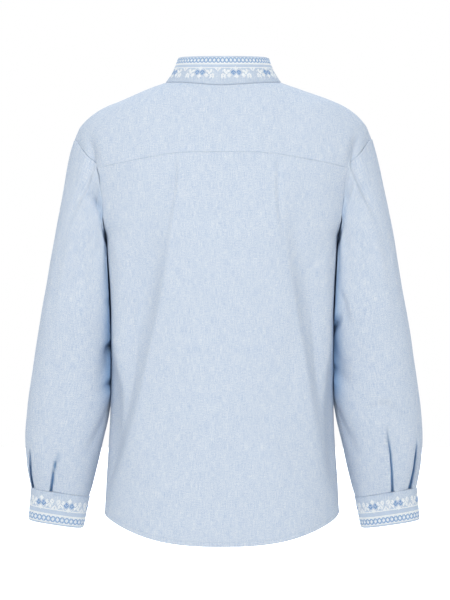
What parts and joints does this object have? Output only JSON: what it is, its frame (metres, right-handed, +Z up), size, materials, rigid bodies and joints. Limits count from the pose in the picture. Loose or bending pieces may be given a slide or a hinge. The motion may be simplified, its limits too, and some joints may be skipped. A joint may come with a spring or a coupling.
{
  "type": "vyshyvanka shirt",
  "caption": "Long-sleeved stand-collar shirt of thin pale blue cloth, filled out as worn, with a back yoke, sleeves pleated into cuffs and a curved shirt-tail hem.",
  "frame": {"origin": "midway between the two points where the collar seam crosses the shoulders, where the wearer's shoulders and neck hold the shirt", "axes": "+Z up along the wearer, -Y the front of the shirt, +Y its back, +X to the wearer's left"},
  "size_m": [0.5979, 0.253, 0.7184],
  "materials": {
    "chambray": "plain woven cotton, matte",
    "embroidered_band": "plain woven cotton worked all over in cross stitch, matte",
    "button_resin": "pearly resin"
  },
  "bodies": {
    "root": {"yoke": "chambray", "back": "chambray", "front": "chambray", "sleeve_left": "chambray", "sleeve_right": "chambray", "placket_under": "chambray", "placket_outer": "chambray", "collar": "embroidered_band", "cuff_left": "embroidered_band", "cuff_right": "embroidered_band", "button_collar": "button_resin", "button_1": "button_resin", "button_2": "button_resin", "button_3": "button_resin"}
  },
  "joints": []
}
